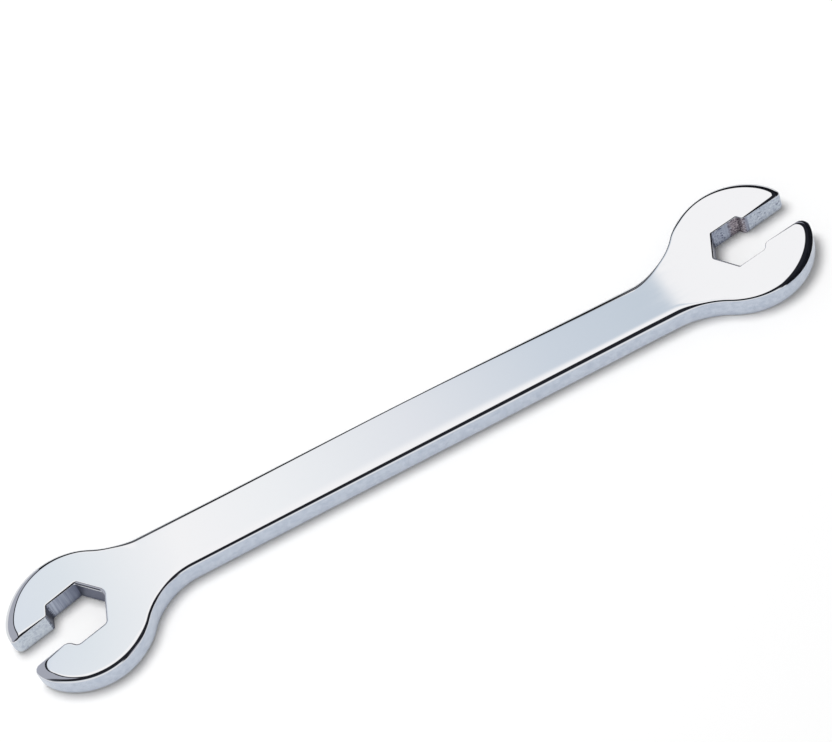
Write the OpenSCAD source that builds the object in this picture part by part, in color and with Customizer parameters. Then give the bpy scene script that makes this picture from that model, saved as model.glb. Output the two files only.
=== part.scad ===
// Double-ended flare-nut wrench for brake lines: two open six-point heads on one flat, tapered shank.
// It lies flat. X runs along the shank from the large head to the small one, and Z is the thickness.
// The origin is midway between the two openings, on the shank's centre line, at the lower face.

/* [Nut openings] */
// Nut size across flats at the large end
large_nut = 14; // [12:0.5:17]
// Nut size across flats at the small end
small_nut = 12; // [10:0.5:15]
// Play added across the flats of both openings
nut_play = 0.15; // [0.05:0.05:0.4]
// How much of each hexagon corner the broach leaves rounded off
corner_trim = 0.3; // [0.1:0.05:0.6]
// Width of the slot that passes over the tube, large end
large_slot = 9.2; // [6:0.1:11]
// Width of the slot that passes over the tube, small end
small_slot = 9.2; // [6:0.1:9.8]
// Turn of the large opening away from the shank, degrees
large_angle = 13.5; // [0:0.5:20]
// Turn of the small opening away from the shank, degrees
small_angle = 8.5; // [0:0.5:20]
// Distance of the large opening to the side of the shank's centre line
large_offset = 4.5; // [3.5:0.1:5.5]
// Distance of the small opening to the side of the shank's centre line
small_offset = 4; // [3:0.1:5]

/* [Heads] */
// Radius of the large head at the jaw on the side it leans to
large_jaw_r = 17.2; // [16:0.1:19]
// Radius of the large head at its other jaw
large_far_jaw_r = 18.1; // [16.5:0.1:19.5]
// Radius of the large head beside its deep hollow
large_deep_r = 17.8; // [16.5:0.1:19]
// Radius of the large head beside its shallow hollow
large_shallow_r = 17.2; // [16:0.1:19]
// Radius of the small head at the jaw on the side it leans to
small_jaw_r = 17.2; // [15.5:0.1:18.5]
// Radius of the small head at its other jaw
small_far_jaw_r = 17.5; // [15.5:0.1:18.5]
// Radius of the small head beside its deep hollow
small_deep_r = 16.4; // [15.5:0.1:18]
// Radius of the small head beside its shallow hollow
small_shallow_r = 16.5; // [15.5:0.1:18]
// Distance from the centre of the large head to its flattened front
large_front = 16; // [14.8:0.1:18]
// Distance from the centre of the small head to its flattened front
small_front = 16.4; // [14.6:0.1:17]
// Distance of the large head's centre to the side of the shank's centre line
large_lean = 4.8; // [3.8:0.1:6]
// Distance of the small head's centre to the side of the shank's centre line
small_lean = 3.8; // [2.8:0.1:5]
// Distance from each opening back to the centre of its head
setback = 0.2; // [0:0.1:1]
// Width of the rounding at the front of the large head
large_nose_w = 2.8; // [1.5:0.1:3.6]
// Width of the rounding at the front of the small head
small_nose_w = 1.5; // [1.4:0.1:3]
// How far the nose rounding drops for each millimetre it is wider than the edge radius
nose_drop = 0.45; // [0.2:0.05:0.6]

/* [Shank] */
// Distance between the two openings, along the shank
opening_spacing = 176; // [140:1:220]
// Width of the shank where it meets the large head
large_neck_w = 14.4; // [12:0.1:17]
// Width of the shank where it meets the small head
small_neck_w = 13.2; // [11:0.1:16]
// Radius of the deep hollow on the side that each head leans to
deep_neck_r = 17; // [12:0.5:24]
// Radius of the shallow hollow on the other side
shallow_neck_r = 22; // [14:0.5:30]
// Straight length of each neck before the shank begins
neck_land = 2; // [1:0.5:5]

/* [Forging] */
// Thickness of the whole wrench
thickness = 6.2; // [5.4:0.1:8]
// Radius on the long edges
edge_r = 1; // [0.5:0.1:1.4]

/* [Hidden] */
$fn = 96;

chrome = [0.86, 0.87, 0.9];
// Cutters run this far past what they cut
past = 1;
// How tightly the flattened front turns into the round of a head
front_turn = 24;
// How quickly the nose rounding narrows away from the front
nose_fade = 1.5;
// Where a head has its jaws and where its hollows begin, in degrees to either side of its front
jaw_at = 45;
hollow_at = 118;
// Steps round the outline, in degrees, and round a quarter of an edge
arc_step = 3;
edge_steps = 4;
// Radii of each head from its shallow hollow over both jaws to its deep hollow
large_radii = [large_shallow_r, large_far_jaw_r, large_jaw_r, large_deep_r];
small_radii = [small_shallow_r, small_far_jaw_r, small_jaw_r, small_deep_r];
// The way a rim faces is taken from places this many degrees to either side
rim_probe = 0.5;
// Across flats to across corners of a hexagon
corner_ratio = 1 / cos(30);

// Head outlines are worked out with the head's centre at the origin and its shank running to -X.
// side_y is the height of a shank edge, measured outward on its own side of the head's centre.
function hollow_x(r, side_y, hollow_r) = sqrt((r + hollow_r) ^ 2 - (side_y + hollow_r) ^ 2);
function deep_y(neck_w, lean) = neck_w / 2 - lean;
function shallow_y(neck_w, lean) = neck_w / 2 + lean;
function neck_length(radii, neck_w, lean) = neck_land + max(
    hollow_x(last(radii), deep_y(neck_w, lean), deep_neck_r),
    hollow_x(radii[0], shallow_y(neck_w, lean), shallow_neck_r));
function shank_end(radii, neck_w, lean) =
    opening_spacing / 2 - setback - neck_length(radii, neck_w, lean);

shank_x0 = -shank_end(large_radii, large_neck_w, large_lean);
shank_x1 = shank_end(small_radii, small_neck_w, small_lean);

function along(a) = [cos(a), sin(a)];
function steps(a0, a1) = ceil(abs(a1 - a0) / arc_step);
function angles(a0, a1) = [for (i = [0 : steps(a0, a1)]) a0 + (a1 - a0) * i / steps(a0, a1)];

// A station on the outline is [place, outward direction, width and height of the edge rounding]
function mirrored(stations) = [
    for (i = [len(stations) - 1 : -1 : 0])
        let (s = stations[i]) [[s[0].x, -s[0].y], [s[1].x, -s[1].y], s[2]]];

// One side of a neck, from the head round its hollow to the end of the land
function neck_stations(side_y, hollow_r, r, length) =
    let (
        hx = hollow_x(r, side_y, hollow_r),
        hy = side_y + hollow_r,
        turn = atan2(hy, hx),
        edge = [edge_r, edge_r])
    concat(
        [for (a = angles(-turn, -90)) [[-hx, hy] + hollow_r * along(a), -along(a), edge]],
        [[[-length, side_y], [0, 1], edge]]);

// Radius of a head at an angle, easing from one of its four radii to the next
function eased(r0, r1, share) =
    let (t = max(0, min(1, share)))
    r0 + (r1 - r0) * t * t * (3 - 2 * t);
function head_r(radii, a) =
    a < -jaw_at ? eased(radii[0], radii[1], (a + hollow_at) / (hollow_at - jaw_at))
    : a < jaw_at ? eased(radii[1], radii[2], (a + jaw_at) / (2 * jaw_at))
    : eased(radii[2], radii[3], (a - jaw_at) / (hollow_at - jaw_at));

// Place on the rim of a head at an angle: its round is flattened across the front, square to its mouth
function ahead(a) = max(0, cos(a));
function rim(radii, front, mouth, a) = along(a)
    * (head_r(radii, a) ^ -front_turn + (ahead(a - mouth) / front) ^ front_turn) ^ (-1 / front_turn);
function rim_facing(radii, front, mouth, a) =
    let (run = rim(radii, front, mouth, a + rim_probe) - rim(radii, front, mouth, a - rim_probe))
    [run.y, -run.x] / norm(run);

// Round of the head between its two hollows, rounded over more towards the front of the wrench
function nose_edge(nose_w, a) =
    let (extra = (nose_w - edge_r) * ahead(a) ^ nose_fade)
    [edge_r + extra, edge_r + extra * nose_drop];
function round_stations(radii, front, nose_w, mouth, a0, a1) =
    let (inner = angles(a0, a1))
    [for (i = [1 : len(inner) - 2])
        let (a = inner[i])
        [rim(radii, front, mouth, a), rim_facing(radii, front, mouth, a), nose_edge(nose_w, a)]];

function head_stations(radii, front, nose_w, mouth, neck_w, lean) =
    let (
        length = neck_length(radii, neck_w, lean),
        deep = neck_stations(deep_y(neck_w, lean), deep_neck_r, last(radii), length),
        shallow = mirrored(neck_stations(shallow_y(neck_w, lean), shallow_neck_r, radii[0], length)),
        a0 = atan2(last(shallow)[1].y, last(shallow)[1].x),
        a1 = atan2(deep[0][1].y, deep[0][1].x))
    concat(shallow, round_stations(radii, front, nose_w, mouth, a0, a1), deep);

function last(list) = list[len(list) - 1];

// Slab whose edges are rounded by each station's own width and height. Its faces fan out from the hub,
// a point from which the whole outline can be seen.
module rounded_slab(stations, hub) {
    count = len(stations);
    quarter = [for (i = [0 : edge_steps]) 90 * i / edge_steps];
    lower = [for (i = [edge_steps : -1 : 0]) [quarter[i], -1]];
    upper = [for (i = [0 : edge_steps]) [quarter[i], 1]];
    rings = concat(lower, upper);
    points = [
        for (ring = rings, s = stations)
            let (
                inset = s[2][0] * (1 - cos(ring[0])),
                rise = thickness / 2 - s[2][1] * (1 - sin(ring[0])),
                place = s[0] - s[1] * inset)
            [place.x, place.y, thickness / 2 + ring[1] * rise]];
    hubs = [[hub.x, hub.y, 0], [hub.x, hub.y, thickness]];
    floor_hub = len(points);
    top_ring = (len(rings) - 1) * count;
    sides = [
        for (k = [0 : len(rings) - 2], i = [0 : count - 1])
            let (a = k * count + i, b = k * count + (i + 1) % count)
            each [[a, a + count, b], [b, a + count, b + count]]];
    faces = [
        for (i = [0 : count - 1])
            let (next = (i + 1) % count)
            each [[floor_hub, i, next], [floor_hub + 1, top_ring + next, top_ring + i]]];
    polyhedron(concat(points, hubs), concat(sides, faces));
}

// Straight wall along X from x0 to x1 and from y0 up to y1, rounded at y1
module straight_wall(x0, x1, y0, y1) {
    translate([x0, 0, 0])
        rotate([90, 0, 90])
            linear_extrude(x1 - x0) {
                translate([y0, 0])
                    square([y1 - edge_r - y0, thickness]);
                translate([y0, edge_r])
                    square([y1 - y0, thickness - 2 * edge_r]);
                for (v = [edge_r, thickness - edge_r])
                    translate([y1 - edge_r, v])
                        circle(edge_r);
            }
}

// Six-point opening and its tube slot, with the mouth towards +X
module opening(nut, slot, reach) {
    across = nut + nut_play;
    translate([0, 0, -past])
        linear_extrude(thickness + 2 * past) {
            intersection() {
                circle(d = across * corner_ratio, $fn = 6);
                circle(d = across * corner_ratio - 2 * corner_trim);
            }
            translate([0, -slot / 2])
                square([reach, slot]);
        }
}

// One head about its own centre, with its shank running to -X and its opening offset from the shank
module head(nut, slot, angle, offset, radii, front, nose_w, neck_w, lean) {
    difference() {
        rounded_slab(head_stations(radii, front, nose_w, angle, neck_w, lean), [0, -lean]);
        translate([setback, offset - lean, 0])
            rotate([0, 0, angle])
                opening(nut, slot, max(radii) + past);
    }
}

module large_head() {
    color(chrome)
        translate([setback - opening_spacing / 2, -large_lean, 0])
            rotate([0, 0, 180])
                head(
                    large_nut, large_slot, large_angle, large_offset,
                    large_radii, large_front, large_nose_w, large_neck_w, large_lean);
}

module small_head() {
    color(chrome)
        translate([opening_spacing / 2 - setback, small_lean, 0])
            head(
                small_nut, small_slot, small_angle, small_offset,
                small_radii, small_front, small_nose_w, small_neck_w, small_lean);
}

// Long wall that leans in from the large neck to the small one, rounded along its far edge
module leaning_wall() {
    length = shank_x1 - shank_x0;
    lean = atan2((small_neck_w - large_neck_w) / 2, length);
    translate([shank_x0, large_neck_w / 2, 0])
        rotate([0, 0, lean])
            straight_wall(-past, length + 2 * past, -large_neck_w - small_neck_w, 0);
}

module shank() {
    color(chrome)
        intersection() {
            leaning_wall();
            mirror([0, 1, 0])
                leaning_wall();
            translate([shank_x0, -large_neck_w - small_neck_w, -past])
                cube([shank_x1 - shank_x0, 2 * (large_neck_w + small_neck_w), thickness + 2 * past]);
        }
}

large_head();
shank();
small_head();
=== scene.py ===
"""Double-ended flare-nut wrench for brake lines: one chromed forging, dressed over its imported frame."""

from collections import namedtuple
from math import atan2, cos, pi, radians, sin, sqrt, tan

import bmesh
import bpy
from mathutils import Matrix, Vector


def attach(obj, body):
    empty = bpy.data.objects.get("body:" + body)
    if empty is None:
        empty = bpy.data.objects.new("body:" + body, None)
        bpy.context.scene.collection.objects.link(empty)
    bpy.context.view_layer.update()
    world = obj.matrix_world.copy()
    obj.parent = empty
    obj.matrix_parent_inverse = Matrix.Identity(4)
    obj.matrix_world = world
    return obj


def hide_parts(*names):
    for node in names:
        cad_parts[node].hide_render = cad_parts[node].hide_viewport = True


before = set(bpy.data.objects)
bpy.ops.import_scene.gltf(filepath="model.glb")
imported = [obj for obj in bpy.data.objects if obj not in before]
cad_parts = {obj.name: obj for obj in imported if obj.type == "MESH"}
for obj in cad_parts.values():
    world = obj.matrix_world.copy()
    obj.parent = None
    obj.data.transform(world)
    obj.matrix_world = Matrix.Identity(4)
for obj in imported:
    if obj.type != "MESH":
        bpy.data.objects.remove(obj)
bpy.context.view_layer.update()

# Sizes of the wrench in millimetres, as in the part's source. Its meshes are drawn in them and scaled at
# the end.
MM = 0.001
THICKNESS = 6.2
SETBACK = 0.2
OPENING_SPACING = 176.0
DEEP_NECK_R = 17.0
SHALLOW_NECK_R = 22.0
NECK_LAND = 2.0
# Distance of each head's centre from the middle of the wrench
HEAD_X = OPENING_SPACING / 2 - SETBACK
# How tightly the flattened front turns into the round of a head
FRONT_TURN = 24
# Where a head has its jaws and where its hollows begin, to either side of its front
JAW_AT = radians(45)
HOLLOW_AT = radians(118)
# The way a rim faces is taken from places this far to either side
RIM_PROBE = radians(0.5)
# The drawn rim lies this far inside the solid's, whose outline has coarser steps
RIM_PLAY = 0.01

# Polishing has rolled the edges over to this slope, and a tight turn joins them to the forged sides. The
# turn's radius is a share of the roll's.
EDGE_TURN = radians(52)
TIGHT_TURN = 0.25
# Rounding half way along the shank, on the side of the small head's deep hollow (1) and on the other (-1),
# and the width of the roll-off behind it
SHANK_ROUND = {1: 0.65, -1: 1.2}
SHANK_ROLL = 2.6
# The edges are sharper in the hollows: shares of a hollow over which they and the roll-off behind them
# narrow, and turn of the head over which they widen again
HOLLOW_SHARE = 0.6
ROLL_SHARE = 0.35
HOLLOW_FADE = radians(20)
# Polishing has also rolled the upper face off slightly before its edges, and hardly at all before an opening
OPENING_ROLL_W = 0.25
ROLL_SLOPE = 0.03
# Powers of the way along a jaw by which its brink turns into the lip and its roll-off narrows. Both happen
# late.
BRINK_LATE = 3
ROLL_LATE = 6
# Halvings that find where a lip begins
LIP_HALVINGS = 50

# The end of a jaw: radius of its wall in plan, of the brink of its flat face, and the rounding of the slot
Lip = namedtuple("Lip", "wall_r brink_r slot_w")
# One side of a head: its radius beside the hollow and at the jaw; rounding of its edge at the neck, in the
# hollow, on the round and at the nose; the angles in degrees between which it widens; width of the roll-off
# behind it; and its lip
Rim = namedtuple("Rim", "hollow_r jaw_r neck hollow round nose round_at nose_at roll_w lip")
# A corner of an opening: radius in plan, and the rounding that deburring left on its rim before and after it
Corner = namedtuple("Corner", "r before after")
# Sides are 1 for the deep hollow and -1 for the shallow one. Corners run from the deep side's slot wall round
# to the shallow side's.
Head = namedtuple("Head", "front mouth neck_w neck_roll lean across slot offset rims corners")
LARGE = Head(
    front=16.0, mouth=radians(13.5), neck_w=14.4, neck_roll=2.2, lean=4.8, across=14.15, slot=9.2, offset=4.5,
    rims={
        1: Rim(
            hollow_r=17.8, jaw_r=17.2, neck=1.0, hollow=0.72, round=1.2, nose=2.6, round_at=75, nose_at=25,
            roll_w=0.3, lip=Lip(wall_r=1.4, brink_r=2.8, slot_w=0.7)),
        -1: Rim(
            hollow_r=17.2, jaw_r=18.1, neck=1.3, hollow=0.7, round=0.8, nose=2.65, round_at=115, nose_at=20,
            roll_w=0.4, lip=Lip(wall_r=1.5, brink_r=0.4, slot_w=0.9))},
    corners=(
        Corner(2.2, 0.3, 0.4), Corner(1.5, 0.4, 0.4), Corner(1.2, 0.4, 0.35), Corner(2.2, 0.35, 0.8),
        Corner(0.5, 0.8, 0.5), Corner(0.5, 0.35, 0.25), Corner(0.7, 0.25, 0.3)))
SMALL = Head(
    front=16.4, mouth=radians(8.5), neck_w=13.2, neck_roll=1.1, lean=3.8, across=12.15, slot=9.2, offset=4.0,
    rims={
        1: Rim(
            hollow_r=16.4, jaw_r=17.2, neck=1.6, hollow=0.35, round=0.8, nose=1.7, round_at=110, nose_at=50,
            roll_w=0.25, lip=Lip(wall_r=1.2, brink_r=0.5, slot_w=0.9)),
        -1: Rim(
            hollow_r=16.5, jaw_r=17.5, neck=1.4, hollow=0.6, round=0.6, nose=1.7, round_at=105, nose_at=45,
            roll_w=0.25, lip=Lip(wall_r=1.9, brink_r=1.8, slot_w=0.4))},
    corners=(
        Corner(0.7, 0.3, 0.25), Corner(0.4, 0.25, 0.3), Corner(0.4, 0.3, 0.4), Corner(0.5, 0.4, 0.5),
        Corner(0.4, 0.5, 0.15), Corner(1.2, 0.12, 0.12), Corner(1.6, 0.12, 0.12)))

# Steps round the outline, along the shank, along a slot wall, round a small corner, round the tight turn and
# the roll of an edge, and over the roll-off of the face
ARC_STEP = radians(1.5)
SHANK_STEPS = 12
SLOT_STEPS = 12
CORNER_STEPS = 8
TURN_STEPS = 3
EDGE_STEPS = 8
ROLL_STEPS = 4

# Finishes, in the order of the pieces' materials
POLISHED, SIDE, SLOT, BROACHED = range(4)

# One place on an outline: its wall, the brink of the upper face, the height of the rounding between the two,
# how far the face rolls off behind its brink, and the finish of the wall
Station = namedtuple("Station", "place brink height roll finish")


def along(a):
    """Unit step at an angle."""
    return Vector((cos(a), sin(a)))


def ahead(a):
    """How far a unit step at an angle leads forward, and nothing if it leads back."""
    return max(0.0, cos(a))


def angles(a0, a1):
    """Even steps from one angle to another."""
    count = max(1, round(abs(a1 - a0) / ARC_STEP))
    return [a0 + (a1 - a0) * i / count for i in range(count + 1)]


def between(a, b, share):
    """Value at a share of the way between two others."""
    return a + (b - a) * share


def eased(a, b, share):
    """Value between two others that leaves the one and reaches the other gently."""
    share = max(0.0, min(1.0, share))
    return between(a, b, share * share * (3 - 2 * share))


def edge_profile(tilt):
    """How far out and down from its brink a rounded edge is at a tilt, for a roll of radius 1."""
    rolled = min(tilt, EDGE_TURN)
    return (
        sin(rolled) + TIGHT_TURN * (sin(tilt) - sin(rolled)),
        1 - cos(rolled) + TIGHT_TURN * (cos(rolled) - cos(tilt)))


EDGE_OUT, EDGE_DOWN = edge_profile(pi / 2)
EDGE_DROP = EDGE_DOWN / EDGE_OUT


def plain_station(place, facing, width, roll_w, finish):
    """Station whose edge is rounded straight back from the way it faces."""
    return Station(place, place - facing * width, width * EDGE_DROP, -facing * roll_w, finish)


def on_side(station, side):
    """Station as it is on the deep side (1) or the shallow side (-1)."""
    return station._replace(**{
        name: Vector((getattr(station, name).x, side * getattr(station, name).y))
        for name in ("place", "brink", "roll")})


def head_radius(head, a):
    """Radius of a head at an angle, easing from its hollows over its jaws."""
    deep, shallow = head.rims[1], head.rims[-1]
    if abs(a) < JAW_AT:
        return eased(shallow.jaw_r, deep.jaw_r, (a + JAW_AT) / (2 * JAW_AT)) - RIM_PLAY
    rim_side = deep if a > 0 else shallow
    return eased(rim_side.jaw_r, rim_side.hollow_r, (abs(a) - JAW_AT) / (HOLLOW_AT - JAW_AT)) - RIM_PLAY


def rim_place(head, a):
    """Place on the round of a head at an angle. It is flattened across the front, square to the mouth."""
    flat = ahead(a - head.mouth) / (head.front - RIM_PLAY)
    return along(a) * (head_radius(head, a) ** -FRONT_TURN + flat ** FRONT_TURN) ** (-1 / FRONT_TURN)


def rim(head, a):
    """Place on the round of a head at an angle, and the way the outline faces there."""
    run = rim_place(head, a + RIM_PROBE) - rim_place(head, a - RIM_PROBE)
    return rim_place(head, a), Vector((run.y, -run.x)).normalized()


def edge_width(head, side, a):
    """Width of the rounding on the round of a head, which grows out of the hollow and towards the nose."""
    rim_side = head.rims[side]
    round_at, nose_at = radians(rim_side.round_at), radians(rim_side.nose_at)
    width = eased(rim_side.round, rim_side.nose, (round_at - abs(a)) / (round_at - nose_at))
    return eased(rim_side.hollow, width, (pi - hollow_turn(head, side) - abs(a)) / HOLLOW_FADE)


def opening_centre(head):
    """Centre of an opening, from the centre of its head."""
    return Vector((SETBACK, head.offset - head.lean))


def neck_values(head, side):
    """Radius of the hollow on one side of a neck, height of the shank there, and the hollow's reach."""
    hollow_r = DEEP_NECK_R if side > 0 else SHALLOW_NECK_R
    side_y = head.neck_w / 2 - side * head.lean
    reach = head.rims[side].hollow_r - RIM_PLAY + hollow_r
    return hollow_r, side_y, sqrt(reach ** 2 - (side_y + hollow_r) ** 2)


def hollow_turn(head, side):
    """Angle at which a hollow meets the round of its head, from the way the neck runs."""
    hollow_r, side_y, hollow_x = neck_values(head, side)
    return atan2(side_y + hollow_r, hollow_x)


def neck_length(head):
    """Distance from the centre of a head to the end of its neck."""
    return NECK_LAND + max(neck_values(head, side)[2] for side in (1, -1))


def neck_side(head, side):
    """Outline of one side of a neck, from its end up the hollow to the head, and the angle where it ends."""
    hollow_r, side_y, hollow_x = neck_values(head, side)
    turn = hollow_turn(head, side)
    rim_side = head.rims[side]
    path = [plain_station(
        Vector((-neck_length(head), side_y)), Vector((0, 1)), rim_side.neck, head.neck_roll, SIDE)]
    for a in angles(-pi / 2, -turn):
        place = Vector((-hollow_x, side_y + hollow_r)) + hollow_r * along(a)
        share = (a + pi / 2) / (pi / 2 - turn)
        width = eased(rim_side.neck, rim_side.hollow, share / HOLLOW_SHARE)
        roll_w = eased(head.neck_roll, rim_side.roll_w, share / ROLL_SHARE)
        path.append(plain_station(place, -along(a), width, roll_w, SIDE))
    return [on_side(station, side) for station in path], side * (pi - turn)


def lip_round(head, side, radius, rim_in, slot_in):
    """Angle and centre of the round that joins a rim to its slot wall, once both are drawn in."""
    across = along(head.mouth + side * pi / 2)
    near, far = head.mouth, head.mouth + side * pi / 2
    for _ in range(LIP_HALVINGS):
        a = (near + far) / 2
        place, facing = rim(head, a)
        centre = place - facing * (rim_in(a) + radius)
        if (centre - opening_centre(head)).dot(across) < head.slot / 2 + slot_in + radius:
            near = a
        else:
            far = a
    return a, centre


def jaw(head, side):
    """Outline of one jaw, from the end of the neck round the head and its lip into the slot."""
    path, start = neck_side(head, side)
    lip = head.rims[side].lip
    wall_a, wall_centre = lip_round(head, side, lip.wall_r, lambda a: 0, 0)
    brink_a, brink_centre = lip_round(
        head, side, lip.brink_r, lambda a: edge_width(head, side, a), lip.slot_w)
    for a in angles(start, wall_a)[1:]:
        share = (a - start) / (wall_a - start)
        # The brink turns into its lip sooner or later than the wall does, and its roll dies out there
        b = a + (brink_a - wall_a) * share ** BRINK_LATE
        width = edge_width(head, side, b)
        brink, facing = rim(head, b)
        path.append(Station(
            rim(head, a)[0], brink - facing * width, width * EDGE_DROP,
            -facing * between(head.rims[side].roll_w, OPENING_ROLL_W, share ** ROLL_LATE), SIDE))
    slot_way = head.mouth - side * pi / 2
    wall_way, brink_way = (atan2(rim(head, a)[1].y, rim(head, a)[1].x) for a in (wall_a, brink_a))
    for i in range(1, CORNER_STEPS + 1):
        share = i / CORNER_STEPS
        facing = along(between(brink_way, slot_way, share))
        path.append(Station(
            wall_centre + lip.wall_r * along(between(wall_way, slot_way, share)),
            brink_centre + lip.brink_r * facing,
            between(edge_width(head, side, brink_a), lip.slot_w, share) * EDGE_DROP,
            -facing * OPENING_ROLL_W,
            SIDE if share < 0.5 else SLOT))
    return path


def rounded_corner(point, way_in, way_out, corner):
    """Stations round one corner of an opening, which lies to the left of the path."""
    turn = -way_in.angle_signed(way_out)
    side = 1 if turn > 0 else -1
    start = point - way_in * corner.r * tan(abs(turn) / 2)
    centre = start + way_in.orthogonal() * side * corner.r
    path = []
    for i in range(CORNER_STEPS + 1):
        share = i / CORNER_STEPS
        swing = Matrix.Rotation(turn * share, 2)
        path.append(plain_station(
            centre + swing @ (start - centre), (swing @ way_in).orthogonal(),
            between(corner.before, corner.after, share), OPENING_ROLL_W, BROACHED))
    return path


def opening_path(head):
    """Outline of a six-point opening, from the end of one slot wall to the end of the other."""
    point_r = head.across / sqrt(3)
    slot_end = Vector((point_r - head.slot / 2 / sqrt(3), head.slot / 2))
    closed_end = [point_r * along(k * pi / 3) for k in range(1, 6)]
    turned = Matrix.Rotation(head.mouth, 2)
    points = [
        opening_centre(head) + turned @ point
        for point in (slot_end, *closed_end, Vector((slot_end.x, -slot_end.y)))]
    ways = [
        -along(head.mouth), *((b - a).normalized() for a, b in zip(points, points[1:])), along(head.mouth)]
    path = []
    for point, way_in, way_out, corner in zip(points, ways, ways[1:], head.corners):
        path += rounded_corner(point, way_in, way_out, corner)
    return path


def slot_wall(a, b):
    """Stations strictly between two others along a straight slot wall."""
    shares = [i / SLOT_STEPS for i in range(1, SLOT_STEPS)]
    return [
        Station(*(between(*ends, share) for ends in zip(a[:-1], b[:-1])), SLOT)
        for share in shares]


def head_path(head):
    """Whole outline of a head, from the deep side of its neck round to the shallow side."""
    deep, shallow = jaw(head, 1), jaw(head, -1)[::-1]
    opening = opening_path(head)
    return [
        *deep, *slot_wall(deep[-1], opening[0]), *opening,
        *slot_wall(opening[-1], shallow[0]), *shallow]


# Rows of an edge from its foot up to the flat: its tilt, upper or lower, and how far up the roll-off of the
# face. The last row lies past the roll-off, so that the face is ringed by flat faces only. The wall lies
# between the two upright rows.
TILTS = [
    *(EDGE_TURN * i / EDGE_STEPS for i in range(EDGE_STEPS)),
    *(between(EDGE_TURN, pi / 2, i / TURN_STEPS) for i in range(TURN_STEPS + 1))]
ROWS = [
    *((tilt, False, 0) for tilt in TILTS), *((tilt, True, 0) for tilt in reversed(TILTS)),
    *((0, True, i / ROLL_STEPS) for i in range(1, ROLL_STEPS + 2))]
WALL_ROWS = len(TILTS) - 1, len(TILTS)
TOP_ROW = len(ROWS) - 1


def edge_point(station, row):
    """Point of a station's rounded edge on one row."""
    tilt, upper, rolled = ROWS[row]
    out, down = edge_profile(tilt)
    place = between(station.brink, station.place, out / EDGE_OUT) + station.roll * rolled
    rise = station.height * down / EDGE_DOWN
    if upper:
        brink_drop = station.roll.length * ROLL_SLOPE / 2
        rise = THICKNESS - rise - brink_drop * (1 - min(1.0, rolled)) ** 2
    return Vector((place.x, place.y, rise))


def new_slab():
    """Empty mesh whose vertices can be marked with their rows."""
    bm = bmesh.new()
    return bm, bm.verts.layers.int.new("row")


def sweep(bm, row_of, path):
    """Rounded edge drawn along a path. Gives back the chains of edges at its two ends."""
    tip = bm.verts.new(edge_point(path[0], 0))
    chain = []
    for row in range(1, len(ROWS)):
        grown = bmesh.ops.extrude_vert_indiv(bm, verts=[tip])
        tip = grown["verts"][0]
        tip.co = edge_point(path[0], row)
        tip[row_of] = row
        chain += grown["edges"]
    first = chain
    for station in path[1:]:
        grown = bmesh.ops.extrude_edge_only(bm, edges=chain)["geom"]
        fresh = {g for g in grown if isinstance(g, bmesh.types.BMVert)}
        chain = [g for g in grown if isinstance(g, bmesh.types.BMEdge) and fresh.issuperset(g.verts)]
        for vert in fresh:
            vert.co = edge_point(station, vert[row_of])
        for face in {face for edge in chain for face in edge.link_faces}:
            if all(vert[row_of] in WALL_ROWS for vert in face.verts):
                face.material_index = station.finish
    return first, chain


def close_slab(bm, row_of, ends):
    """Faces and flat ends of a slab. Each end is a pair of chains, one on either side."""
    rims = {row: [e for e in bm.edges if all(v[row_of] == row for v in e.verts)] for row in (0, TOP_ROW)}
    for pair in ends:
        ring = [*pair[0], *pair[1]]
        for row in rims:
            corners = [next(v for e in chain for v in e.verts if v[row_of] == row) for chain in pair]
            rims[row] += bmesh.ops.contextual_create(bm, geom=corners)["edges"]
            ring.append(rims[row][-1])
        bmesh.ops.edgeloop_fill(bm, edges=ring)
        for edge in ring:
            edge.smooth = False
    for row in rims:
        bmesh.ops.edgeloop_fill(bm, edges=rims[row])


def build_head(head):
    """One head about its own centre, with its neck running to -X."""
    bm, row_of = new_slab()
    close_slab(bm, row_of, [sweep(bm, row_of, head_path(head))])
    return bm


def build_shank(x0, x1):
    """Flat bar from one neck to the other, with its long edges rounded."""
    bm, row_of = new_slab()
    sides = []
    for side in (1, -1):
        path = []
        for i in range(SHANK_STEPS + 1):
            share = i / SHANK_STEPS
            from_middle = abs(2 * share - 1)
            # The large head is turned round, so its sides are the other way about
            head, rim_side = (LARGE, LARGE.rims[-side]) if share < 0.5 else (SMALL, SMALL.rims[side])
            place = Vector((between(x0, x1, share), between(LARGE.neck_w, SMALL.neck_w, share) / 2))
            width = eased(SHANK_ROUND[side], rim_side.neck, from_middle)
            roll_w = eased(SHANK_ROLL, head.neck_roll, from_middle)
            path.append(on_side(plain_station(place, Vector((0, 1)), width, roll_w, SIDE), side))
        sides.append(sweep(bm, row_of, path))
    close_slab(bm, row_of, zip(*sides))
    return bm


def put_in_order(bm):
    """Edges and faces in the order of their vertices, since extruding leaves them in a new order each run."""
    bm.verts.index_update()
    for elements in (bm.edges, bm.faces):
        ordered = sorted(elements, key=lambda element: sorted(vert.index for vert in element.verts))
        ranks = {element: rank for rank, element in enumerate(ordered)}
        elements.sort(key=ranks.get)


def mesh_object(bm, name, materials):
    """Object in the scene that holds a finished mesh."""
    mesh = bpy.data.meshes.new(name)
    bm.to_mesh(mesh)
    bm.free()
    for material in materials:
        mesh.materials.append(material)
    made = bpy.data.objects.new(name, mesh)
    bpy.context.scene.collection.objects.link(made)
    return made


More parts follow.
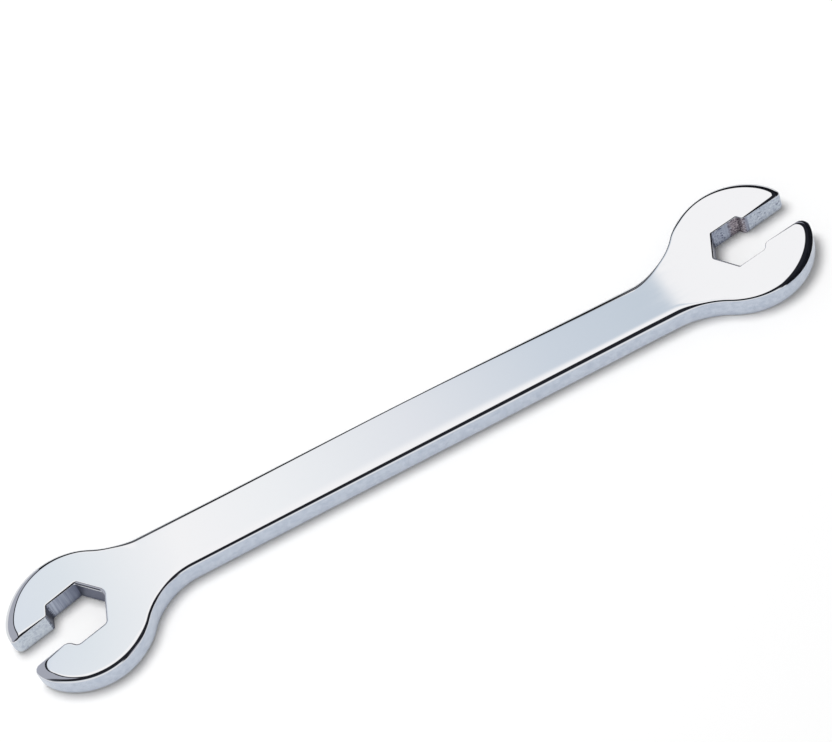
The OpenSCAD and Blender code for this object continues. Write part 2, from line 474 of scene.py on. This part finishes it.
def finish_piece(bm, name, place, materials, node):
    """Piece in metres at its place in the frame."""
    bmesh.ops.transform(bm, matrix=Matrix.Scale(MM, 4) @ place, verts=bm.verts)
    bmesh.ops.recalc_face_normals(bm, faces=bm.faces)
    for face in bm.faces:
        face.smooth = True
    put_in_order(bm)
    piece = mesh_object(bm, name, materials)
    # Flat faces keep their own direction, so that only the roundings bend the reflections
    shading = piece.modifiers.new("flat_faces", "WEIGHTED_NORMAL")
    shading.keep_sharp = True
    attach(piece, "root")
    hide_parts(node)


# Settings of nodes that mix colours and of soft steps, and a Mix node's colour sockets, which have the same
# names as its sockets for other kinds
COLOURS = {"data_type": "RGBA"}
SOFT = {"interpolation_type": "SMOOTHSTEP"}
MIX_A, MIX_B, MIXED = 6, 7, 2


def linear(hex_colour):
    """Linear RGBA of an sRGB hex colour."""
    channels = [int(hex_colour[i:i + 2], 16) / 255 for i in (1, 3, 5)]
    return (*(c / 12.92 if c <= 0.04045 else ((c + 0.055) / 1.055) ** 2.4 for c in channels), 1.0)


def add(tree, kind, settings=None, inputs=None, stops=()):
    """Node of a kind, with its settings, its inputs as values or links, and any ramp stops in order."""
    node = tree.nodes.new(kind)
    for name, value in (settings or {}).items():
        setattr(node, name, value)
    for socket, value in (inputs or {}).items():
        if isinstance(value, bpy.types.NodeSocket):
            tree.links.new(value, node.inputs[socket])
        else:
            node.inputs[socket].default_value = value
    for i, (position, colour) in enumerate(stops):
        elements = node.color_ramp.elements
        element = elements[i] if i < 2 else elements.new(position)
        element.position = position
        element.color = colour
    return node


def new_material(name):
    """Material without nodes, its tree, and where a point lies on the wrench."""
    material = bpy.data.materials.new(name)
    material.use_nodes = True
    tree = material.node_tree
    tree.nodes.clear()
    return material, tree, add(tree, "ShaderNodeTexCoord").outputs["Object"]


def polished_chrome():
    """Bright chrome on buffed faces and edges: a near mirror, a little hazed where the wheel ran along it."""
    material, tree, place = new_material("buffed_chrome_plate")
    # Haze in streaks about 12 mm long and 1.2 mm wide, along the wrench
    streaks = add(
        tree, "ShaderNodeMapping", inputs={"Vector": place, "Scale": (1 / 0.012, 1 / 0.0012, 1 / 0.0012)})
    haze = add(tree, "ShaderNodeTexNoise", inputs={"Vector": streaks.outputs[0], "Scale": 1.0, "Detail": 4.0})
    roughness = add(
        tree, "ShaderNodeMapRange",
        inputs={"Value": haze.outputs[0], "From Min": 0.3, "From Max": 0.7, "To Min": 0.02, "To Max": 0.04})
    shader = add(
        tree, "ShaderNodeBsdfPrincipled",
        inputs={"Base Color": linear("#dcdee2"), "Metallic": 1.0, "Roughness": roughness.outputs[0]})
    add(tree, "ShaderNodeOutputMaterial", inputs={"Surface": shader.outputs[0]})
    return material


def forged_chrome():
    """Chrome on the forged sides, which were not buffed: bluer and duller, with a soft ripple."""
    material, tree, place = new_material("forged_chrome_plate")
    # Ripples about 1.5 mm across
    ripple = add(tree, "ShaderNodeTexNoise", inputs={"Vector": place, "Scale": 1 / 0.0015, "Detail": 2.0})
    tone = add(
        tree, "ShaderNodeValToRGB", inputs={"Fac": ripple.outputs[0]},
        stops=((0.3, linear("#b8c1d0")), (0.7, linear("#c6cedb"))))
    bump = add(
        tree, "ShaderNodeBump", inputs={"Strength": 0.4, "Distance": 0.00004, "Height": ripple.outputs[0]})
    shader = add(
        tree, "ShaderNodeBsdfPrincipled",
        inputs={
            "Base Color": tone.outputs[0], "Metallic": 1.0, "Roughness": 0.22, "Normal": bump.outputs[0]})
    add(tree, "ShaderNodeOutputMaterial", inputs={"Surface": shader.outputs[0]})
    return material


def milled_chrome():
    """Chrome on the milled walls of the tube slots: satin, with a few dark pits in the small one."""
    material, tree, place = new_material("milled_chrome_plate")
    # Pits about 0.6 mm across, which hardly show towards the large end
    grit = add(tree, "ShaderNodeTexNoise", inputs={"Vector": place, "Scale": 1 / 0.0006, "Detail": 3.0})
    x = add(tree, "ShaderNodeSeparateXYZ", inputs={0: place}).outputs[0]
    lift = add(
        tree, "ShaderNodeMapRange", inputs={"Value": x, "From Min": 0.05, "From Max": -0.05, "To Max": 0.12})
    smooth = add(tree, "ShaderNodeMath", {"operation": "ADD"}, {0: grit.outputs[0], 1: lift.outputs[0]})
    tone = add(
        tree, "ShaderNodeValToRGB", inputs={"Fac": smooth.outputs[0]},
        stops=((0.3, linear("#4d5567")), (0.38, linear("#a9b2c2")), (0.7, linear("#cdd5de"))))
    shader = add(
        tree, "ShaderNodeBsdfPrincipled",
        inputs={"Base Color": tone.outputs[0], "Metallic": 1.0, "Roughness": 0.38})
    add(tree, "ShaderNodeOutputMaterial", inputs={"Surface": shader.outputs[0]})
    return material


# Along the wrench, where the painted shade at each hexagon's closed end is whole and where it is gone: at the
# large closed end it fades out, and at the small one it stops at a corner
LARGE_END_SHADE = -0.083, -0.093
SMALL_END_SHADE = 0.0832, 0.0842
# Patches in the hexagons: place, reach, and colours from dark to light. The first is painted shade, a dark
# facet on the large step; the others are a blotch at the small step and dark specks by the small closed end.
# Their edges are ragged by up to this much either way.
STAINS_AND_SHADE = (
    ((-0.0941, 0.0, 0.0), 0.0021, ((0.3, "#2c3040"), (0.7, "#565c70"))),
    ((0.0903, 0.0102, 0.0), 0.0028, ((0.36, "#403848"), (0.5, "#847b84"), (0.64, "#b5afb4"))),
    ((0.0848, 0.0098, 0.0), 0.0024, ((0.36, "#2f3550"), (0.42, "#8990a3"), (0.64, "#a6aebd"))))
PATCH_RAGGED = 0.0006


def stained_and_shaded(tree, place, colour):
    """Colour of a hexagon's wall with painted shade on the large step and a blotch and specks in the small
    hexagon.
    """
    # Blotches 0.4 mm across
    blotches = add(tree, "ShaderNodeTexNoise", inputs={"Vector": place, "Scale": 1 / 0.0004, "Detail": 3.0})
    ragged = add(
        tree, "ShaderNodeMapRange",
        inputs={
            "Value": blotches.outputs[0], "From Min": 0.3, "From Max": 0.7,
            "To Min": -PATCH_RAGGED, "To Max": PATCH_RAGGED})
    in_plan = add(tree, "ShaderNodeVectorMath", {"operation": "MULTIPLY"}, {0: place, 1: (1, 1, 0)})
    # The first patch is painted shade on the large step
    for spot, reach, stops in STAINS_AND_SHADE:
        distance = add(
            tree, "ShaderNodeVectorMath", {"operation": "DISTANCE"}, {0: in_plan.outputs[0], 1: spot})
        edge = add(
            tree, "ShaderNodeMath", {"operation": "ADD"},
            {0: distance.outputs["Value"], 1: ragged.outputs[0]})
        share = add(
            tree, "ShaderNodeMapRange", SOFT,
            {"Value": edge.outputs[0], "From Min": reach, "From Max": reach / 2})
        patch_tone = add(
            tree, "ShaderNodeValToRGB", inputs={"Fac": blotches.outputs[0]},
            stops=[(position, linear(shade)) for position, shade in stops])
        colour = add(
            tree, "ShaderNodeMix", COLOURS,
            {0: share.outputs[0], MIX_A: colour, MIX_B: patch_tone.outputs[0]}).outputs[MIXED]
    return colour


def broached_chrome():
    """Chrome on the broached hexagons: satin with upright tool lines. Painted shade darkens it at the closed
    ends and on the large step, and it is blotched at the small step and specked in the small hexagon."""
    material, tree, place = new_material("broached_chrome_plate")
    # Tool lines 0.4 mm apart round the wall, and long through the thickness
    upright = add(
        tree, "ShaderNodeMapping", inputs={"Vector": place, "Scale": (1 / 0.0004, 1 / 0.0004, 1 / 0.012)})
    lines = add(
        tree, "ShaderNodeTexNoise", inputs={"Vector": upright.outputs[0], "Scale": 1.0, "Detail": 2.0})
    tone = add(
        tree, "ShaderNodeValToRGB", inputs={"Fac": lines.outputs[0]},
        stops=((0.32, linear("#8990a3")), (0.66, linear("#abb3c2"))))
    # Painted shade at the closed ends: the wall tone gives way to a dark one there
    x = add(tree, "ShaderNodeSeparateXYZ", inputs={0: place}).outputs[0]
    large_unshaded, small_unshaded = (
        add(tree, "ShaderNodeMapRange", SOFT, {"Value": x, "From Min": end_shaded, "From Max": end_clear}).outputs[0]
        for end_shaded, end_clear in (LARGE_END_SHADE, SMALL_END_SHADE))
    lift = add(tree, "ShaderNodeMath", {"operation": "MAXIMUM"}, {0: large_unshaded, 1: small_unshaded})
    tone_with_end_shade = add(
        tree, "ShaderNodeMix", COLOURS,
        {0: lift.outputs[0], MIX_A: linear("#4d5369"), MIX_B: tone.outputs[0]})
    bump = add(
        tree, "ShaderNodeBump", inputs={"Strength": 0.4, "Distance": 0.00005, "Height": lines.outputs[0]})
    shader = add(
        tree, "ShaderNodeBsdfPrincipled",
        inputs={
            "Base Color": stained_and_shaded(tree, place, tone_with_end_shade.outputs[MIXED]), "Metallic": 1.0, "Roughness": 0.35,
            "Normal": bump.outputs[0]})
    add(tree, "ShaderNodeOutputMaterial", inputs={"Surface": shader.outputs[0]})
    return material


def black_felt():
    """Black felt on the studio cards: it soaks up light, so that polished metal shows it almost black."""
    material, tree, place = new_material("black_felt_card")
    # Nap about 2 mm across
    nap = add(tree, "ShaderNodeTexNoise", inputs={"Vector": place, "Scale": 1 / 0.002, "Detail": 2.0})
    tone = add(
        tree, "ShaderNodeValToRGB", inputs={"Fac": nap.outputs[0]},
        stops=((0.3, linear("#212228")), (0.7, linear("#2a2b31"))))
    shader = add(
        tree, "ShaderNodeBsdfPrincipled",
        inputs={"Base Color": tone.outputs[0], "Roughness": 1.0, "Specular IOR Level": 0.0})
    add(tree, "ShaderNodeOutputMaterial", inputs={"Surface": shader.outputs[0]})
    return material


def white_sweep():
    """Matt white paper under the wrench."""
    material, tree, _ = new_material("white_paper_sweep")
    shader = add(
        tree, "ShaderNodeBsdfPrincipled",
        inputs={"Base Color": linear("#f7f7f7"), "Roughness": 1.0, "Specular IOR Level": 0.0})
    # In the metal the paper shows almost evenly white, with only a trace of the wrench's own shadow. Light
    # that the metal throws back on the paper is left as it is.
    path = add(tree, "ShaderNodeLightPath")
    direct = add(
        tree, "ShaderNodeMath", {"operation": "LESS_THAN"}, {0: path.outputs["Diffuse Depth"], 1: 0.5})
    glossy = add(
        tree, "ShaderNodeMath", {"operation": "MULTIPLY"},
        {0: path.outputs["Is Glossy Ray"], 1: direct.outputs[0]})
    # Within 1.2 mm of the wrench's sides the shadow shows whole
    clear = add(tree, "ShaderNodeAmbientOcclusion", {"samples": 8}, {"Distance": 0.0012})
    open_paper = add(
        tree, "ShaderNodeMapRange", inputs={"Value": clear.outputs["AO"], "From Min": 0.6, "To Max": 0.8})
    share = add(
        tree, "ShaderNodeMath", {"operation": "MULTIPLY"}, {0: glossy.outputs[0], 1: open_paper.outputs[0]})
    white = add(tree, "ShaderNodeEmission", inputs={"Color": linear("#f7f7f7"), "Strength": 1.0})
    paper = add(
        tree, "ShaderNodeMixShader",
        inputs={0: share.outputs[0], 1: shader.outputs[0], 2: white.outputs[0]})
    add(tree, "ShaderNodeOutputMaterial", inputs={"Surface": paper.outputs[0]})
    return material


# Levels of light in the studio, linear
BACKDROP = (1.0, 1.0, 1.0, 1)
WHITE_PANEL = (1.0, 0.98, 0.96, 1)
BRIGHT_WALL = (0.95, 0.97, 1.0, 1)
GREY_WALL = (0.5, 0.51, 0.57, 1)
DIM_WALL = (0.3, 0.31, 0.34, 1)
DARK_ROOM = (0.02, 0.021, 0.027, 1)
MATT_FILL = (0.4, 0.4, 0.4, 1)
# The first panel, from over the large head to over the small one
FIRST_PANEL = (
    (0.06, (0.76, 0.80, 0.85, 1)), (0.15, (0.80, 0.84, 0.86, 1)), (0.30, WHITE_PANEL),
    (0.43, (0.95, 0.95, 0.94, 1)), (0.62, (0.83, 0.84, 0.86, 1)), (0.81, (0.66, 0.71, 0.765, 1)),
    (0.94, (0.60, 0.66, 0.72, 1)))
# Rays are taken to climb at least this steeply, so that the lowest still meet the ceiling
LOWEST_CLIMB = 0.02


def overhead_panels(tree, u, v):
    """Light of the two panels overhead, by where a ray meets them: u along the wrench and v away from the
    camera."""
    # The first is brightest over the large neck and greys towards the small end
    span = add(tree, "ShaderNodeMapRange", inputs={"Value": u, "From Min": -0.15, "From Max": 0.15})
    first = add(tree, "ShaderNodeValToRGB", inputs={"Fac": span.outputs[0]}, stops=FIRST_PANEL)
    # The second begins beyond a slanted edge, over the small head
    slant = add(tree, "ShaderNodeMath", {"operation": "MULTIPLY_ADD"}, {0: v, 1: 0.06, 2: u})
    beyond = add(
        tree, "ShaderNodeMapRange", SOFT, {"Value": slant.outputs[0], "From Min": 0.1807, "From Max": 0.1867})
    # It is also white along the side that is nearest the camera
    nearest = add(tree, "ShaderNodeMapRange", SOFT, {"Value": v, "From Min": 0.68, "From Max": 0.6})
    white = add(
        tree, "ShaderNodeMath", {"operation": "MAXIMUM"}, {0: beyond.outputs[0], 1: nearest.outputs[0]})
    both = add(
        tree, "ShaderNodeMix", COLOURS,
        {0: white.outputs[0], MIX_A: first.outputs[0], MIX_B: WHITE_PANEL})
    # Both fade away from the camera
    fade = add(
        tree, "ShaderNodeMapRange",
        inputs={"Value": v, "From Min": 0.84, "From Max": 0.94, "To Min": 1.24, "To Max": 0.05})
    return add(
        tree, "ShaderNodeMix", {**COLOURS, "blend_type": "MULTIPLY"},
        {0: 1.0, MIX_A: both.outputs[MIXED], MIX_B: fade.outputs[0]}).outputs[MIXED]


def studio_world():
    """Room round the wrench, as polished metal and the camera see it. Matt surfaces get an even fill."""
    world = bpy.data.worlds.new("studio")
    bpy.context.scene.world = world
    world.use_nodes = True
    tree = world.node_tree
    tree.nodes.clear()
    ray = add(tree, "ShaderNodeTexCoord").outputs["Generated"]
    x, y, z = add(tree, "ShaderNodeSeparateXYZ", inputs={0: ray}).outputs
    aside = add(tree, "ShaderNodeMath", {"operation": "ABSOLUTE"}, {0: y}).outputs[0]
    # Where a ray meets a ceiling one unit up: u along the wrench, v away from the camera
    climb = add(tree, "ShaderNodeMath", {"operation": "MAXIMUM"}, {0: z, 1: LOWEST_CLIMB}).outputs[0]
    u, v = (
        add(tree, "ShaderNodeMath", {"operation": "DIVIDE"}, {0: run, 1: climb}).outputs[0] for run in (x, y))

    # Cards and walls, each in front of those before it. Their edges are soft: a coordinate, where the card
    # begins and where it is whole.
    low_wall = ((z, 0.6, 0.2), (x, 0.4, 0.1))
    wall_behind_camera = ((z, 0.62, 0.5), (y, -0.2, -0.5), (x, 0.38, 0.26))
    right_cards = ((z, 0.58, 0.5), (x, 0.42, 0.58), (aside, 0.5, 0.6))
    left_card = ((u, -0.32, -0.35), (y, -0.1, 0.05))
    overhead = ((u, -0.235, -0.21), (u, 0.28, 0.25), (v, 0.05, 0.11), (z, 0.1, 0.2))
    wall_beyond = ((z, 0.56, 0.51), (y, 0.6, 0.7))
    along_floor = ((z, 0.1, 0.06),)
    seen = DARK_ROOM
    for edges, light in (
            (low_wall, DIM_WALL), (wall_behind_camera, BRIGHT_WALL), (right_cards, GREY_WALL),
            (left_card, GREY_WALL), (overhead, overhead_panels(tree, u, v)), (wall_beyond, GREY_WALL),
            (along_floor, BACKDROP)):
        share = 1.0
        for value, begins, whole in edges:
            edge = add(
                tree, "ShaderNodeMapRange", SOFT, {"Value": value, "From Min": begins, "From Max": whole})
            share = add(
                tree, "ShaderNodeMath", {"operation": "MULTIPLY"}, {0: edge.outputs[0], 1: share}).outputs[0]
        seen = add(
            tree, "ShaderNodeMix", COLOURS, {0: share, MIX_A: seen, MIX_B: light}).outputs[MIXED]

    matt = add(tree, "ShaderNodeLightPath").outputs["Is Diffuse Ray"]
    room = add(tree, "ShaderNodeMix", COLOURS, {0: matt, MIX_A: seen, MIX_B: MATT_FILL})
    background = add(
        tree, "ShaderNodeBackground", inputs={"Color": room.outputs[MIXED], "Strength": 1.0})
    add(tree, "ShaderNodeOutputWorld", inputs={"Surface": background.outputs[0]})


# Studio pieces, in metres: half the paper's width and its gap under the wrench
PAPER_HALF = 3.0
PAPER_GAP = 0.00005
# The far card's foot and height, and its bends in plan from the large head to the small nose
FAR_CARD_FOOT = 0.0066
FAR_CARD_HEIGHT = 0.0052
FAR_CARD_BENDS = (
    (-0.093, 0.0176), (-0.066, 0.0172), (-0.05, 0.0145), (0.045, 0.013), (0.058, 0.0145),
    (0.0675, 0.0205), (0.079, 0.0255), (0.09, 0.0255), (0.101, 0.0205))
# The nose card's radius about the small head, foot and top, the angle where it begins, how far it turns
# and in how many steps, and how much its lower edge rises
NOSE_CARD_R = 0.02
NOSE_CARD_FOOT = 0.0045
NOSE_CARD_TOP = 0.0104
NOSE_CARD_BEGINS = radians(-74)
NOSE_CARD_TURN = radians(126)
NOSE_CARD_STEPS = 24
NOSE_CARD_TILT = radians(8)
# Where the camera stands, its turn from straight in front of the wrench, its climb above level and its roll
CAMERA_PLACE = (-0.022058, -0.434339, 0.634524)
CAMERA_TURN = radians(-3.769)
CAMERA_CLIMB = radians(54.504)
CAMERA_ROLL = radians(-24.003)


def studio_floor():
    """Paper sweep just under the wrench."""
    bm = bmesh.new()
    bmesh.ops.create_grid(bm, x_segments=1, y_segments=1, size=PAPER_HALF)
    bmesh.ops.translate(bm, verts=bm.verts, vec=(0, 0, -PAPER_GAP))
    floor = mesh_object(bm, "paper_sweep", [white_sweep()])


def studio_card(bm, name, felt):
    """Low black card close to the wrench, which draws a black line along its polished edge. It shows in the
    metal only."""
    card = mesh_object(bm, name, [felt])
    card.visible_camera = card.visible_diffuse = card.visible_shadow = False


def far_card(felt):
    """Card bent along the far side of the wrench, a few millimetres from it."""
    bm = bmesh.new()
    bends = [bm.verts.new((x, y, FAR_CARD_FOOT)) for x, y in FAR_CARD_BENDS]
    foot = [bm.edges.new(ends) for ends in zip(bends, bends[1:])]
    grown = bmesh.ops.extrude_edge_only(bm, edges=foot)["geom"]
    top = [g for g in grown if isinstance(g, bmesh.types.BMVert)]
    bmesh.ops.translate(bm, verts=top, vec=(0, 0, FAR_CARD_HEIGHT))
    studio_card(bm, "far_card", felt)


def nose_card(felt):
    """Card curved round the small nose."""
    bm = bmesh.new()
    start = NOSE_CARD_R * along(NOSE_CARD_BEGINS)
    ends = [bm.verts.new((start.x, start.y, z)) for z in (NOSE_CARD_FOOT, NOSE_CARD_TOP)]
    bmesh.ops.spin(
        bm, geom=[*ends, bm.edges.new(ends)], cent=(0, 0, 0), axis=(0, 0, 1), angle=NOSE_CARD_TURN,
        steps=NOSE_CARD_STEPS)
    # Its lower edge rises towards the far jaw
    lower = [v for v in bm.verts if v.co.z < (NOSE_CARD_FOOT + NOSE_CARD_TOP) / 2]
    bmesh.ops.rotate(
        bm, verts=lower, cent=(0, 0, NOSE_CARD_FOOT), matrix=Matrix.Rotation(NOSE_CARD_TILT, 3, "X"))
    bmesh.ops.translate(bm, verts=bm.verts, vec=(HEAD_X * MM, SMALL.lean * MM, 0))
    studio_card(bm, "nose_card", felt)


def studio_lamp():
    """Broad softbox high behind the wrench and to its left, so that a short shadow falls to the lower right.
    The panels stand for it in the metal."""
    data = bpy.data.lights.new("softbox", "AREA")
    data.shape = "DISK"
    data.size = 0.7
    data.energy = 12.0
    lamp = bpy.data.objects.new("softbox", data)
    lamp.location = (-0.17, 0.26, 1.2)
    lamp.rotation_euler = (-lamp.location).to_track_quat("-Z", "Y").to_euler()
    lamp.visible_glossy = False
    bpy.context.scene.collection.objects.link(lamp)


def studio_camera():
    """Camera at the photograph's angle, fitted to the edges of the two openings."""
    data = bpy.data.cameras.new("camera")
    data.sensor_width = 36
    data.lens = 142.8
    camera = bpy.data.objects.new("camera", data)
    camera.matrix_world = (
        Matrix.Translation(CAMERA_PLACE) @ Matrix.Rotation(CAMERA_TURN, 4, "Z")
        @ Matrix.Rotation(pi / 2 - CAMERA_CLIMB, 4, "X") @ Matrix.Rotation(CAMERA_ROLL, 4, "Z"))
    bpy.context.scene.collection.objects.link(camera)
    bpy.context.scene.camera = camera
    bpy.context.scene.view_settings.view_transform = "Standard"


studio_world()
studio_floor()
felt_finish = black_felt()
far_card(felt_finish)
nose_card(felt_finish)
studio_lamp()
studio_camera()

finishes = polished_chrome(), forged_chrome(), milled_chrome(), broached_chrome()
finish_piece(
    build_head(LARGE), "forged_large_head",
    Matrix.Translation((-HEAD_X, -LARGE.lean, 0)) @ Matrix.Rotation(pi, 4, "Z"), finishes, "large_head")
finish_piece(
    build_shank(neck_length(LARGE) - HEAD_X, HEAD_X - neck_length(SMALL)), "forged_shank",
    Matrix.Identity(4), finishes, "shank")
finish_piece(
    build_head(SMALL), "forged_small_head",
    Matrix.Translation((HEAD_X, SMALL.lean, 0)), finishes, "small_head")
